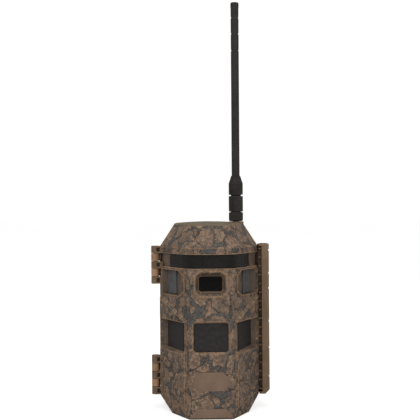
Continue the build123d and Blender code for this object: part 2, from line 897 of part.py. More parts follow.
for low, high, name in (
    (upper_hinge_bottom, upper_hinge_top, "upper_hinge_pin"),
    (lower_hinge_bottom, lower_hinge_top, "lower_hinge_pin"),
):
    with BuildPart() as hinge_pin:
        with BuildSketch(Plane.XY.offset(low)):
            with Locations((hinge_x, parting_y)):
                Circle(pin_r)
        extrude(amount=high - low)
    save(hinge_pin, name)

with BuildPart() as latch_pin:
    with BuildSketch(Plane.XY.offset(latch_bottom)):
        with Locations((latch_axis_x, latch_axis_y)):
            Circle(pin_r)
    extrude(amount=latch_top - latch_bottom)
save(latch_pin, "latch_pin")

# ======== latch lever ========
with BuildPart() as latch_lever:
    with BuildSketch(Plane.XY.offset(latch_bottom)):
        with BuildLine():
            Polyline(
                (half_width + latch_gap, parting_y - latch_front_depth),
                (latch_outer - latch_edge, parting_y - latch_front_depth),
                (latch_outer, parting_y - latch_front_depth + latch_edge),
                (latch_outer, latch_axis_y),
                (latch_outer - latch_wall, latch_axis_y),
                (latch_outer - latch_wall, parting_y - latch_front_depth + latch_wall),
                (half_width + latch_gap, parting_y - latch_front_depth + latch_wall),
                close=True,
            )
        make_face()
        with Locations((latch_axis_x, latch_axis_y)):
            Circle(latch_barrel_r)
    extrude(amount=latch_top - latch_bottom)
    # ribs that brace the bar and bear on the cover's edge
    for number in range(latch_ribs):
        rib_z = latch_bottom + latch_rib_start + number * latch_rib_pitch
        with BuildSketch(Plane.XY.offset(rib_z - latch_rib_thick / 2)):
            with BuildLine():
                Polyline(
                    (half_width + swing_gap, parting_y - latch_rib_depth),
                    (latch_outer - latch_wall, parting_y - latch_front_depth + latch_wall / 2),
                    (latch_outer - latch_wall, latch_axis_y - latch_barrel_r - swing_gap),
                    (half_width + swing_gap, parting_y),
                    close=True,
                )
            make_face()
        extrude(amount=latch_rib_thick)
    # back wall behind the ribs
    with BuildSketch(Plane.XY.offset(latch_bottom)):
        with BuildLine():
            Polyline(
                (half_width + swing_gap, parting_y - latch_web),
                (latch_outer - latch_wall, parting_y - latch_web),
                (latch_outer - latch_wall, parting_y),
                (half_width + swing_gap, parting_y),
                close=True,
            )
        make_face()
    extrude(amount=latch_top - latch_bottom)
    # top and bottom caps
    for cap_z in (latch_bottom, latch_top - latch_cap):
        with BuildSketch(Plane.XY.offset(cap_z)):
            with BuildLine():
                Polyline(
                    (half_width + swing_gap, parting_y - latch_front_depth + latch_edge),
                    (half_width + swing_gap + latch_edge, parting_y - latch_front_depth),
                    (latch_outer - latch_wall, parting_y - latch_front_depth),
                    (latch_outer - latch_wall, parting_y + swing_gap),
                    (half_width + swing_gap, parting_y + swing_gap),
                    close=True,
                )
            make_face()
        extrude(amount=latch_cap)
    # slanted lower outer corner
    with BuildSketch(depth_plane(-latch_pivot_behind - latch_barrel_r)):
        with BuildLine():
            Polyline(
                (latch_outer - latch_corner, latch_bottom),
                (latch_outer, latch_bottom + latch_corner),
                (latch_outer + cut_margin, latch_bottom),
                close=True,
            )
        make_face()
    extrude(amount=latch_front_depth + latch_pivot_behind + 2 * latch_barrel_r, mode=Mode.SUBTRACT)
    # grip notches down the outer edge
    for notch_z in latch_notches:
        with BuildSketch(depth_plane(-latch_pivot_behind)):
            with Locations((latch_outer, notch_z)):
                Rectangle(2 * notch_depth, notch_height)
        extrude(amount=latch_front_depth + latch_pivot_behind, mode=Mode.SUBTRACT)
    # room for the housing's lugs, and the pin's bore
    for lug_z in latch_lug_centres:
        with BuildSketch(Plane.XY.offset(lug_z - latch_lug_height / 2 - swing_gap)):
            with Locations((latch_axis_x, latch_axis_y)):
                Circle(latch_barrel_r + swing_gap)
            with Locations((latch_axis_x, latch_axis_y)):
                Rectangle(4 * latch_barrel_r - latch_wall, 2 * latch_barrel_r + swing_gap)
        extrude(amount=latch_lug_height + 2 * swing_gap, mode=Mode.SUBTRACT)
    with BuildSketch(Plane.XY.offset(latch_bottom)):
        with Locations((latch_axis_x, latch_axis_y)):
            Circle(pin_r + running_gap)
    extrude(amount=latch_top - latch_bottom, mode=Mode.SUBTRACT)
save(latch_lever, "latch_lever")

# ======== antenna ========
nut_z = boss_z + swing_gap
sleeve_z = nut_z + nut_height + swing_gap
neck_z = sleeve_z + sleeve_height
upper_z = neck_z + joint_neck_height
taper_z = upper_z + upper_sleeve_height
mast_z = taper_z + taper_height


def turned(points):
    """A turned piece on the antenna's axis, from radius and height pairs."""
    with BuildPart() as piece:
        with BuildSketch(Plane(origin=(antenna_x, antenna_y, 0), x_dir=(1, 0, 0), z_dir=(0, -1, 0))):
            with BuildLine():
                Polyline(*points, close=True)
            make_face()
        revolve(axis=Axis((antenna_x, antenna_y, 0), (0, 0, 1)))
    return piece


antenna_connector = turned(
    [
        (connector_core_r, body_height - boss_depth - connector_tail),
        (connector_r, body_height - boss_depth - connector_tail),
        (connector_r, nut_z + nut_bore_step - swing_gap),
        (connector_core_r, nut_z + nut_bore_step - swing_gap),
    ]
)
save(antenna_connector, "antenna_connector")

with BuildPart() as connector_nut:
    with BuildSketch(Plane.XY.offset(body_height - boss_depth)):
        with Locations((antenna_x, antenna_y)):
            RegularPolygon(connector_nut_r, 6, major_radius=False)
            Circle(connector_r, mode=Mode.SUBTRACT)
    extrude(amount=-connector_nut_thick)
save(connector_nut, "connector_nut")

with BuildPart() as antenna_nut:
    with BuildSketch(Plane.XY.offset(nut_z)):
        with Locations((antenna_x, antenna_y)):
            Circle(nut_r)
    extrude(amount=nut_height)
    chamfer(edges().filter_by(GeomType.CIRCLE), nut_edge)
    with BuildSketch(Plane.XY.offset(nut_z)):
        with Locations((antenna_x, antenna_y)):
            with PolarLocations(nut_r + flute_r / 3, nut_flutes):
                Circle(flute_r)
    extrude(amount=nut_height, mode=Mode.SUBTRACT)
    with BuildSketch(Plane.XY.offset(nut_z)):
        with Locations((antenna_x, antenna_y)):
            Circle(connector_r + running_gap)
    extrude(amount=nut_height, mode=Mode.SUBTRACT)
    with BuildSketch(Plane.XY.offset(nut_z + nut_bore_step)):
        with Locations((antenna_x, antenna_y)):
            Circle(spigot_r + running_gap)
    extrude(amount=nut_height, mode=Mode.SUBTRACT)
save(antenna_nut, "antenna_nut")

antenna_base = turned(
    [
        (0.0, nut_z + nut_bore_step + swing_gap),
        (spigot_r, nut_z + nut_bore_step + swing_gap),
        (spigot_r, sleeve_z),
        (sleeve_r - sleeve_edge, sleeve_z),
        (sleeve_r, sleeve_z + sleeve_edge),
        (sleeve_r, neck_z - sleeve_edge),
        (sleeve_r - sleeve_edge, neck_z),
        (joint_neck_r, neck_z),
        (joint_neck_r, upper_z),
        (0.0, upper_z),
    ]
)
save(antenna_base, "antenna_base")

antenna_sleeve = turned(
    [
        (0.0, upper_z),
        (sleeve_r - sleeve_edge, upper_z),
        (sleeve_r, upper_z + sleeve_edge),
        (sleeve_r, taper_z),
        (mast_r + sleeve_lip, mast_z),
        (mast_r, mast_z),
        (mast_r, taper_z),
        (0.0, taper_z),
    ]
)
save(antenna_sleeve, "antenna_sleeve")

mast_outline = [(0.0, taper_z), (mast_r, taper_z)]
for ring_z in ring_heights:
    mast_outline += [
        (mast_r, ring_z - ring_width),
        (mast_r - ring_depth, ring_z - ring_width / 2),
        (mast_r - ring_depth, ring_z + ring_width / 2),
        (mast_r, ring_z + ring_width),
    ]
mast_outline += [(mast_r, antenna_top - tip_height), (0.0, antenna_top - tip_height)]
antenna_mast = turned(mast_outline)
save(antenna_mast, "antenna_mast")

antenna_tip = turned(
    [
        (0.0, antenna_top - tip_height),
        (mast_r + tip_lip, antenna_top - tip_height),
        (mast_r + tip_lip, antenna_top - 4 * tip_lip),
        (mast_r - 2 * tip_lip, antenna_top),
        (0.0, antenna_top),
    ]
)
save(antenna_tip, "antenna_tip")


# ======== windows ========
with BuildPart() as led_window:
    band_height_fit = band_height - 2 * fit_gap
    outer_band = cover_plan(
        ledge_z + fit_gap, half_width, cover_depth, hood_r, band_recess - band_window_proud
    )
    inner_band = cover_plan(ledge_z + fit_gap, half_width, cover_depth, hood_r - band_recess, band_recess)
    extrude(outer_band, amount=band_height_fit)
    extrude(inner_band, amount=band_height_fit, mode=Mode.SUBTRACT)
    with BuildSketch(depth_plane(side_wall)):
        with Locations((0, (brow_z + ledge_z) / 2)):
            Rectangle(2 * band_window_half, band_height)
    extrude(amount=cover_depth, mode=Mode.INTERSECT)
    # tongue that fills the opening
    tongue_low = ledge_z + band_lap + fit_gap
    tongue_height = band_height - 2 * band_lap - 2 * fit_gap
    tongue_r = hood_r - band_recess
    tongue = extrude(
        cover_plan(tongue_low, half_width, cover_depth, tongue_r, band_recess),
        amount=tongue_height, mode=Mode.PRIVATE,
    )
    tongue_core = extrude(
        cover_plan(tongue_low, half_width, cover_depth, tongue_r - wall, band_recess + wall),
        amount=tongue_height, mode=Mode.PRIVATE,
    )
    with BuildSketch(depth_plane(side_wall + 2 * wall)):
        with Locations((0, (brow_z + ledge_z) / 2)):
            Rectangle(2 * (band_window_half - band_lap - fit_gap), band_height)
    tongue_span = extrude(amount=cover_depth, mode=Mode.PRIVATE)
    add((tongue - tongue_core) & tongue_span)
save(led_window, "led_window")

with BuildPart() as centre_lens_pane:
    with BuildSketch(front_face.offset(-lens_pocket_depth)):
        with Locations((0, lens_z)):
            Rectangle(glass_width + 2 * pane_lap - 2 * fit_gap, glass_height + 2 * pane_lap - 2 * fit_gap)
    extrude(amount=-pane_thick)
save(centre_lens_pane, "centre_lens_pane")

with BuildPart() as right_lens_pane:
    with BuildSketch(side_glass_plane):
        with Locations((0, lens_z)):
            Rectangle(side_glass_length - 2 * fit_gap, side_frame_height - 2 * fit_gap)
    extrude(amount=side_pane_thick)
save(right_lens_pane, "right_lens_pane")

with BuildPart() as left_lens_pane:
    add(mirror(right_lens_pane.part, about=Plane.YZ, mode=Mode.PRIVATE))
save(left_lens_pane, "left_lens_pane")

with BuildPart() as centre_pir_window:
    with BuildSketch(front_face.offset(-pir_recess)):
        with Locations((0, pir_z)):
            RectangleRounded(pir_width - 2 * fit_gap, pir_height - 2 * fit_gap, pir_corner)
    extrude(amount=-pir_lens_thick)
save(centre_pir_window, "centre_pir_window")

with BuildPart() as right_pir_window:
    with BuildSketch(side_pir_plane):
        with Locations((0, pir_z)):
            Rectangle(side_pir_length - 2 * fit_gap, pir_height - 2 * fit_gap)
    extrude(amount=side_pir_thick)
save(right_pir_window, "right_pir_window")

with BuildPart() as left_pir_window:
    add(mirror(right_pir_window.part, about=Plane.YZ, mode=Mode.PRIVATE))
save(left_pir_window, "left_pir_window")

# ======== plates on the front ========
with BuildPart() as name_plate:
    with BuildSketch(front_face):
        with BuildLine():
            Polyline(
                (-plate_low_width / 2, plate_bottom),
                (plate_low_width / 2, plate_bottom),
                (plate_low_width / 2, plate_bottom + plate_edge),
                (plate_top_width / 2, plate_top),
                (-plate_top_width / 2, plate_top),
                (-plate_low_width / 2, plate_bottom + plate_edge),
                close=True,
            )
        make_face()
    extrude(amount=plate_proud, taper=plate_taper)
save(name_plate, "name_plate")

with BuildPart() as emblem_plate:
    extrude(
        cut_rectangle(
            front_face, emblem_z, emblem_width, emblem_height, emblem_height / 3
        ),
        amount=emblem_proud,
    )
save(emblem_plate, "emblem_plate")

# ======== infrared lamps ========
led_z = (brow_z + ledge_z) / 2
led_planes = (
    (front_face.offset(-led_board_inset), [(lamp - 2) * led_pitch for lamp in range(5)]),
    (right_facet.offset(-led_board_inset), [led_facet_start + lamp * led_pitch for lamp in range(4)]),
)
with BuildPart() as led_board:
    for plane, places in led_planes:
        middle = (places[0] + places[-1]) / 2
        with BuildSketch(plane):
            with Locations((middle, led_z)):
                Rectangle(places[-1] - places[0] + 2 * (led_r + led_board_margin), led_board_height)
        strip = extrude(amount=-led_board_thick)
        if plane is not led_planes[0][0]:
            mirror(strip, about=Plane.YZ)
save(led_board, "led_board")

with BuildPart() as infrared_lamps:
    for plane, places in led_planes:
        with BuildSketch(plane):
            with Locations(*[(place, led_z) for place in places]):
                Circle(led_r)
        lamps = extrude(amount=led_tall)
        if plane is not led_planes[0][0]:
            mirror(lamps, about=Plane.YZ)
save(infrared_lamps, "infrared_lamps")

# ======== lens modules ========
lens_planes = (
    (front_face.offset(-lens_pocket_depth - pane_thick - barrel_gap), centre_barrel_r, centre_barrel_length),
    (side_glass_plane.offset(-side_pane_back), side_barrel_r, side_barrel_length),
)
with BuildPart() as lens_barrels:
    for plane, radius, length in lens_planes:
        with BuildSketch(plane):
            with Locations((0, lens_z)):
                Circle(radius)
                Circle(radius - lens_barrel_wall, mode=Mode.SUBTRACT)
        barrel = extrude(amount=-length)
        if radius == side_barrel_r:
            mirror(barrel, about=Plane.YZ)
save(lens_barrels, "lens_barrels")

with BuildPart() as lens_glasses:
    for plane, radius, length in lens_planes:
        with BuildSketch(plane.offset(-lens_glass_inset)):
            with Locations((0, lens_z)):
                Circle(radius - lens_barrel_wall)
        element = extrude(amount=-lens_glass_thick)
        if radius == side_barrel_r:
            mirror(element, about=Plane.YZ)
save(lens_glasses, "lens_glasses")

with BuildPart() as sensor_boards:
    for plane, radius, length in lens_planes:
        with BuildSketch(plane.offset(-length)):
            with Locations((0, lens_z)):
                Rectangle(2 * (radius + fit_gap), 2 * (radius + sensor_board_margin))
        board = extrude(amount=-sensor_board_thick)
        if radius == side_barrel_r:
            mirror(board, about=Plane.YZ)
save(sensor_boards, "sensor_boards")

# ======== passive infrared sensors ========
sensor_planes = (front_face.offset(-pir_sensor_inset), side_pir_plane.offset(-pir_side_inset))
with BuildPart() as pir_sensors:
    for plane in sensor_planes:
        with BuildSketch(plane):
            with Locations((0, pir_z)):
                Circle(pir_can_r)
        can = extrude(amount=-pir_can_tall)
        if plane is not sensor_planes[0]:
            mirror(can, about=Plane.YZ)
save(pir_sensors, "pir_sensors")

with BuildPart() as pir_boards:
    for plane in sensor_planes:
        with BuildSketch(plane.offset(-pir_can_tall)):
            with Locations((0, pir_z)):
                Rectangle(2 * (pir_can_r + fit_gap), pir_board_height)
        board = extrude(amount=-sensor_board_thick)
        if plane is not sensor_planes[0]:
            mirror(board, about=Plane.YZ)
save(pir_boards, "pir_boards")

# ======== inner plate ========
key_places = (
    ("ok_button", 0, 0),
    ("up_button", 0, 1),
    ("down_button", 0, -1),
    ("left_button", -1, 0),
    ("right_button", 1, 0),
)
plate_rear = depth_plane(plate_back)
with BuildPart() as inner_plate:
    extrude(front_outline(plate_rear, plate_inset), amount=plate_thick)
    with BuildSketch(plate_rear):
        with Locations((0, lcd_z)):
            Rectangle(lcd_width - 2 * lcd_lap, lcd_height - 2 * lcd_lap)
        for name, across, up in key_places:
            with Locations((keypad_x + across * key_pitch, keypad_z + up * key_pitch)):
                Circle(key_r + key_gap)
        with Locations((switch_x, keypad_z)):
            Rectangle(knob_width + 2 * switch_throw + 2 * swing_gap, knob_height + 2 * swing_gap)
        with Locations((card_x, card_z - card_height / 2)):
            Rectangle(card_width, card_window)
        for post_x, post_z in post_places:
            with Locations((post_x, post_z), (-post_x, post_z)):
                Circle(screw_r + fit_gap)
    extrude(amount=plate_thick, mode=Mode.SUBTRACT)
save(inner_plate, "inner_plate")

with BuildPart() as plate_screws:
    for post_x, post_z in post_places:
        with BuildSketch(depth_plane(plate_back)):
            with Locations((post_x, post_z), (-post_x, post_z)):
                Circle(screw_r)
        extrude(amount=plate_thick + post_bore)
        with BuildSketch(depth_plane(plate_back)):
            with Locations((post_x, post_z), (-post_x, post_z)):
                Circle(screw_head_r)
        extrude(amount=-screw_head_tall)
save(plate_screws, "plate_screws")

with BuildPart() as screen:
    with BuildSketch(depth_plane(plate_back + plate_thick)):
        with Locations((0, lcd_z)):
            Rectangle(lcd_width, lcd_height)
    extrude(amount=lcd_thick)
save(screen, "screen")

with BuildPart() as main_board:
    with BuildSketch(depth_plane(board_depth)):
        with Locations((0, (board_bottom + board_top) / 2)):
            Rectangle(2 * board_half, board_top - board_bottom)
    extrude(amount=board_thick)
save(main_board, "main_board")

with BuildPart() as modem:
    with BuildSketch(depth_plane(board_depth + board_thick)):
        with Locations((0, modem_z)):
            Rectangle(modem_width, modem_height)
    extrude(amount=modem_thick)
    fillet(edges().filter_by(Axis.Y), modem_corner_r)
save(modem, "modem")

with BuildPart() as key_switches:
    for name, across, up in key_places:
        with BuildSketch(depth_plane(board_depth)):
            with Locations((keypad_x + across * key_pitch, keypad_z + up * key_pitch)):
                Rectangle(key_switch_width, key_switch_width)
        extrude(amount=-key_switch_tall)
save(key_switches, "key_switches")

key_tail = board_depth - key_switch_tall - key_travel - swing_gap
for name, across, up in key_places:
    centre = (keypad_x + across * key_pitch, keypad_z + up * key_pitch)
    with BuildPart() as key:
        with BuildSketch(depth_plane(plate_back - key_proud)):
            with Locations(centre):
                Circle(key_r)
        extrude(amount=key_tail - plate_back + key_proud)
        fillet(edges().group_by(Axis.Y)[-1], key_edge_r)
        with BuildSketch(depth_plane(plate_back + plate_thick + key_gap)):
            with Locations(centre):
                Circle(key_flange_r)
        extrude(amount=key_flange_thick)
    save(key, name)

with BuildPart() as power_switch_body:
    with BuildSketch(depth_plane(board_depth)):
        with Locations((switch_x, keypad_z)):
            Rectangle(switch_body_width, switch_body_height)
    extrude(amount=-switch_body_tall)
save(power_switch_body, "power_switch_body")

with BuildPart() as power_switch:
    with BuildSketch(depth_plane(plate_back - knob_proud)):
        with Locations((switch_x, keypad_z)):
            Rectangle(knob_width, knob_height)
    extrude(amount=board_depth - switch_body_tall - swing_gap - plate_back + knob_proud)
    fillet(edges().group_by(Axis.Y)[-1], key_edge_r)
save(power_switch, "power_switch")

with BuildPart() as card_holder:
    with BuildSketch(depth_plane(plate_back + plate_thick)):
        with Locations((card_x, card_z)):
            Rectangle(card_width + 4 * card_skin, card_height)
    extrude(amount=card_thick + 3 * card_skin)
    with BuildSketch(depth_plane(plate_back + plate_thick + card_skin)):
        with Locations((card_x, card_z - card_stop)):
            Rectangle(card_width + 2 * fit_gap, card_height)
    extrude(amount=card_thick + 2 * fit_gap, mode=Mode.SUBTRACT)
save(card_holder, "card_holder")

with BuildPart() as memory_card:
    with BuildSketch(depth_plane(plate_back + plate_thick + card_skin + fit_gap)):
        with Locations((card_x, card_z - card_stop - fit_gap)):
            chamfer(Rectangle(card_width, card_height).vertices().sort_by(Axis.X)[-1], card_notch)
    extrude(amount=card_thick)
save(memory_card, "memory_card")

# ======== batteries ========
tray_width = cell_columns * cell_pitch + 2 * tray_wall
row_pitch = cell_length + cell_tip_length + spring_length + 2 * contact_thick + tray_wall
tray_height = cell_rows * row_pitch + tray_wall
tray_floor = cell_depth + cell_r + tray_wall
cell_places = [
    (
        (column - (cell_columns - 1) / 2) * cell_pitch,
        tray_bottom + tray_wall + row * row_pitch,
    )
    for column in range(cell_columns)
    for row in range(cell_rows)
]
with BuildPart() as battery_tray:
    with BuildSketch(depth_plane(-tray_front)):
        with Locations((0, tray_bottom + tray_height / 2)):
            Rectangle(tray_width, tray_height)
    extrude(amount=-(tray_floor - tray_front))
    for cell_x, cell_z in cell_places:
        with BuildSketch(Plane.XY.offset(cell_z)):
            with Locations((cell_x, parting_y + cell_depth)):
                Circle(cell_r + fit_gap)
            with Locations((cell_x, parting_y + cell_depth / 2)):
                Rectangle(2 * cell_r + 2 * fit_gap, cell_depth)
        extrude(amount=row_pitch - tray_wall, mode=Mode.SUBTRACT)
save(battery_tray, "battery_tray")

with BuildPart() as battery_cells:
    for cell_x, cell_z in cell_places:
        base = cell_z + contact_thick + spring_length
        with BuildSketch(Plane.XY.offset(base)):
            with Locations((cell_x, parting_y + cell_depth)):
                Circle(cell_r)
        extrude(amount=cell_length)
        with BuildSketch(Plane.XY.offset(base + cell_length)):
            with Locations((cell_x, parting_y + cell_depth)):
                Circle(cell_tip_r)
        extrude(amount=cell_tip_length)
save(battery_cells, "battery_cells")

with BuildPart() as battery_springs:
    for cell_x, cell_z in cell_places:
        with BuildSketch(Plane.XY.offset(cell_z + contact_thick)):
            with Locations((cell_x, parting_y + cell_depth)):
                Circle(spring_r)
                Circle(spring_r - spring_wall, mode=Mode.SUBTRACT)
        extrude(amount=spring_length)
save(battery_springs, "battery_springs")

with BuildPart() as battery_contacts:
    for cell_x, cell_z in cell_places:
        for contact_z in (cell_z, cell_z + row_pitch - tray_wall - contact_thick):
            with BuildSketch(Plane.XY.offset(contact_z)):
                with Locations((cell_x, parting_y + cell_depth - contact_shift)):
                    Rectangle(contact_width, contact_width - contact_shift)
            extrude(amount=contact_thick)
save(battery_contacts, "battery_contacts")

# ======== power jack ========
with BuildPart() as power_jack:
    with BuildSketch(Plane.XY.offset(wall)):
        with Locations((jack_x, 0)):
            Rectangle(2 * jack_r + jack_body_margin, 2 * jack_r + jack_body_margin)
            Circle(jack_bore_r, mode=Mode.SUBTRACT)
    extrude(amount=jack_length)
save(power_jack, "power_jack")

with BuildPart() as jack_plug:
    with BuildSketch():
        with Locations((jack_x, 0)):
            Circle(jack_r)
    extrude(amount=wall)
    with BuildSketch(Plane.XY.offset(wall)):
        with Locations((jack_x, 0)):
            Circle(jack_bore_r - fit_gap)
    extrude(amount=jack_length / 2)
save(jack_plug, "jack_plug")
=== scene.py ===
import math

import bmesh
import bpy
from mathutils import Matrix, Vector


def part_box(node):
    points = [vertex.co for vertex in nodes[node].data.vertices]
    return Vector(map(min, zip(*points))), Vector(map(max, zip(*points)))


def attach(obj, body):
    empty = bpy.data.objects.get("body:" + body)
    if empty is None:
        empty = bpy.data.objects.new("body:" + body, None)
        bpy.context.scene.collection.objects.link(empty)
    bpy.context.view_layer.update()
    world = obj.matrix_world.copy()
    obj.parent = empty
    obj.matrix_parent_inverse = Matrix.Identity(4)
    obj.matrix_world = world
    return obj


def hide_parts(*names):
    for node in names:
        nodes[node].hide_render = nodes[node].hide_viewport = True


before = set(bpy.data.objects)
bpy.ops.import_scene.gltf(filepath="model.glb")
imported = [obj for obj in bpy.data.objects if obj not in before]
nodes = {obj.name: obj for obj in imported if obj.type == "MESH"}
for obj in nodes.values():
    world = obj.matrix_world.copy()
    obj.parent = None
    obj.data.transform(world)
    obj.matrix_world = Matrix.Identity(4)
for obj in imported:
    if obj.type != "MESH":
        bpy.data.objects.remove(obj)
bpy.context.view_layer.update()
MM = 0.001

# ---------------------------------------------------------------- shader helpers


def colour(red, green, blue):
    """Scene-linear colour from display values of 0 to 255."""
    def linear(value):
        value /= 255
        return value / 12.92 if value <= 0.04045 else ((value + 0.055) / 1.055) ** 2.4
    return (linear(red), linear(green), linear(blue), 1.0)


def add(tree, kind, settings=None, **inputs):
    """A node with its settings and inputs; an input is a value or another node's output."""
    made = tree.nodes.new(kind)
    for key, value in (settings or {}).items():
        setattr(made, key, value)
    for key, value in inputs.items():
        numbered = key[0] == "i" and key[1:].isdigit()
        socket = made.inputs[int(key[1:]) if numbered else key.replace("_", " ")]
        if isinstance(value, bpy.types.NodeSocket):
            tree.links.new(value, socket)
        else:
            socket.default_value = value
    return made


def maths(tree, operation, first, second=0.0, third=0.0):
    return add(tree, "ShaderNodeMath", {"operation": operation}, i0=first, i1=second, i2=third).outputs[0]


def times(tree, first, second):
    return maths(tree, "MULTIPLY", first, second)


def plus(tree, first, second):
    return maths(tree, "ADD", first, second)


def minus(tree, first, second):
    return maths(tree, "SUBTRACT", first, second)


def darker(shade, share):
    """A colour scaled down, or up where share is over 1."""
    return tuple(value * share for value in shade[:3]) + (1.0,)


def blend(tree, amount, first, second, way="MIX"):
    """Mixes two colours by a mask."""
    made = tree.nodes.new("ShaderNodeMix")
    made.data_type = "RGBA"
    made.blend_type = way
    for socket, value in ((made.inputs[0], amount), (made.inputs[6], first), (made.inputs[7], second)):
        if isinstance(value, bpy.types.NodeSocket):
            tree.links.new(value, socket)
        else:
            socket.default_value = value
    return made.outputs[2]


def step(tree, value, low, high, out_low=0.0, out_high=1.0):
    """Smooth step of a value between two limits."""
    made = add(tree, "ShaderNodeMapRange", {"interpolation_type": "SMOOTHSTEP"}, Value=value)
    for name, limit in (("From Min", low), ("From Max", high), ("To Min", out_low), ("To Max", out_high)):
        if isinstance(limit, bpy.types.NodeSocket):
            tree.links.new(limit, made.inputs[name])
        else:
            made.inputs[name].default_value = limit
    return made.outputs[0]


def noise_node(tree, place, scale, detail, roughness):
    return add(tree, "ShaderNodeTexNoise", Vector=place, Scale=scale, Detail=detail, Roughness=roughness)


def noise(tree, place, scale, detail=3.0, roughness=0.5):
    """Smooth random value from 0 to 1."""
    return noise_node(tree, place, scale, detail, roughness).outputs[0]


def noise_shift(tree, place, scale, detail=3.0, roughness=0.5):
    """Three smooth random values, for pushing coordinates about."""
    return noise_node(tree, place, scale, detail, roughness).outputs[1]


def group(name, inputs, outputs):
    """An empty shader group with named sockets, its input and output nodes."""
    tree = bpy.data.node_groups.new(name, "ShaderNodeTree")
    for socket_name, kind, value in inputs:
        socket = tree.interface.new_socket(socket_name, in_out="INPUT", socket_type=kind)
        if value is not None:
            socket.default_value = value
    for socket_name, kind in outputs:
        tree.interface.new_socket(socket_name, in_out="OUTPUT", socket_type=kind)
    return tree, tree.nodes.new("NodeGroupInput"), tree.nodes.new("NodeGroupOutput")


def place_group(tree, shared, **inputs):
    made = tree.nodes.new("ShaderNodeGroup")
    made.node_tree = shared
    for key, value in inputs.items():
        socket = made.inputs[key.replace("_", " ")]
        if isinstance(value, bpy.types.NodeSocket):
            tree.links.new(value, socket)
        else:
            socket.default_value = value
    return made


# ---------------------------------------------------------------- shared effects


def make_grain():
    """Moulded grain: a fine height and a slow drift of tone."""
    tree, given, out = group(
        "moulded grain",
        [("Vector", "NodeSocketVector", None), ("Scale", "NodeSocketFloat", 2600.0)],
        [("Height", "NodeSocketFloat"), ("Drift", "NodeSocketFloat")],
    )
    fine = noise(tree, given.outputs["Vector"], given.outputs["Scale"], 2.0, 0.6)
    slow = noise(tree, given.outputs["Vector"], 55.0, 4.0, 0.6)
    tree.links.new(fine, out.inputs["Height"])
    tree.links.new(step(tree, slow, 0.32, 0.68), out.inputs["Drift"])
    return tree


def make_edge_highlight():
    """Mask of painted highlights on outside edges, from how far the rounded normal turns away from the flat
    one.
    """
    tree, given, out = group(
        "painted edge highlight",
        [("Radius", "NodeSocketFloat", 0.0006), ("Vector", "NodeSocketVector", None)],
        [("Mask", "NodeSocketFloat")],
    )
    rounded = add(tree, "ShaderNodeBevel", {"samples": 6}, Radius=given.outputs["Radius"])
    flat = add(tree, "ShaderNodeNewGeometry")
    turn = add(
        tree, "ShaderNodeVectorMath", {"operation": "DOT_PRODUCT"},
        i0=rounded.outputs[0], i1=flat.outputs["Normal"],
    ).outputs["Value"]
    open_side = add(tree, "ShaderNodeAmbientOcclusion", {"samples": 4, "only_local": True}, Distance=0.0012)
    outside = step(tree, open_side.outputs["AO"], 0.55, 0.85)
    broken = noise(tree, given.outputs["Vector"], 420.0, 3.0, 0.6)
    edge = times(tree, step(tree, minus(tree, 1.0, turn), 0.003, 0.035), outside)
    tree.links.new(times(tree, edge, step(tree, broken, 0.25, 0.6, 0.5, 1.0)), out.inputs["Mask"])
    return tree


def make_shade():
    """Mask of painted shade in corners, gaps and recesses, from ambient occlusion."""
    tree, given, out = group(
        "painted corner shade",
        [("Distance", "NodeSocketFloat", 0.004), ("Vector", "NodeSocketVector", None)],
        [("Mask", "NodeSocketFloat")],
    )
    closed = add(tree, "ShaderNodeAmbientOcclusion", {"samples": 6}, Distance=given.outputs["Distance"])
    ragged = noise(tree, given.outputs["Vector"], 260.0, 3.0, 0.6)
    uneven = times(tree, minus(tree, ragged, 0.5), 0.2)
    level = plus(tree, closed.outputs["AO"], uneven)
    tree.links.new(step(tree, level, 0.18, 0.66, 1.0, 0.0), out.inputs["Mask"])
    return tree


def make_recess():
    """Mask of the window recesses: points that lie behind the case's six-sided outline."""
    tree, given, out = group(
        "window recess",
        [
            ("Vector", "NodeSocketVector", None),
            ("Front", "NodeSocketFloat", 59.0 * MM),
            ("Facet Reach", "NodeSocketFloat", 45.5 * MM),
            ("Low", "NodeSocketFloat", 52.0 * MM),
            ("High", "NodeSocketFloat", 137.9 * MM),
        ],
        [("Mask", "NodeSocketFloat")],
    )
    split = add(tree, "ShaderNodeSeparateXYZ", i0=given.outputs["Vector"])
    across = maths(tree, "ABSOLUTE", split.outputs[0])
    behind_front = plus(tree, split.outputs[1], given.outputs["Front"])
    facet_turn = math.radians(30.0)
    along_facet = minus(
        tree, times(tree, across, round(math.cos(facet_turn), 3)), times(tree, split.outputs[1], 0.5)
    )
    behind_facet = minus(tree, given.outputs["Facet Reach"], along_facet)
    depth = maths(tree, "MINIMUM", behind_front, behind_facet)
    inside = step(tree, depth, 0.8 * MM, 1.6 * MM)
    height = split.outputs[2]
    low = given.outputs["Low"]
    high = given.outputs["High"]
    above = step(tree, height, low, plus(tree, low, 0.4 * MM))
    below = step(tree, height, minus(tree, high, 0.3 * MM), high, 1.0, 0.0)
    tree.links.new(times(tree, inside, times(tree, above, below)), out.inputs["Mask"])
    return tree


grain = make_grain()
painted_edge_highlight = make_edge_highlight()
painted_corner_shade = make_shade()
window_recess = make_recess()

# ---------------------------------------------------------------- materials


def start(name, **plain):
    """A material with its surface shader and object coordinates; plain values go on the shader."""
    made = bpy.data.materials.new(name)
    made.use_nodes = True
    tree = made.node_tree
    surface = tree.nodes["Principled BSDF"]
    for key, value in plain.items():
        surface.inputs[key.replace("_", " ")].default_value = value
    place = tree.nodes.new("ShaderNodeTexCoord").outputs["Object"]
    return made, tree, surface, place


def bump(tree, surface, height, strength, distance):
    made = add(tree, "ShaderNodeBump", Strength=strength, Distance=distance, Height=height)
    tree.links.new(made.outputs[0], surface.inputs["Normal"])


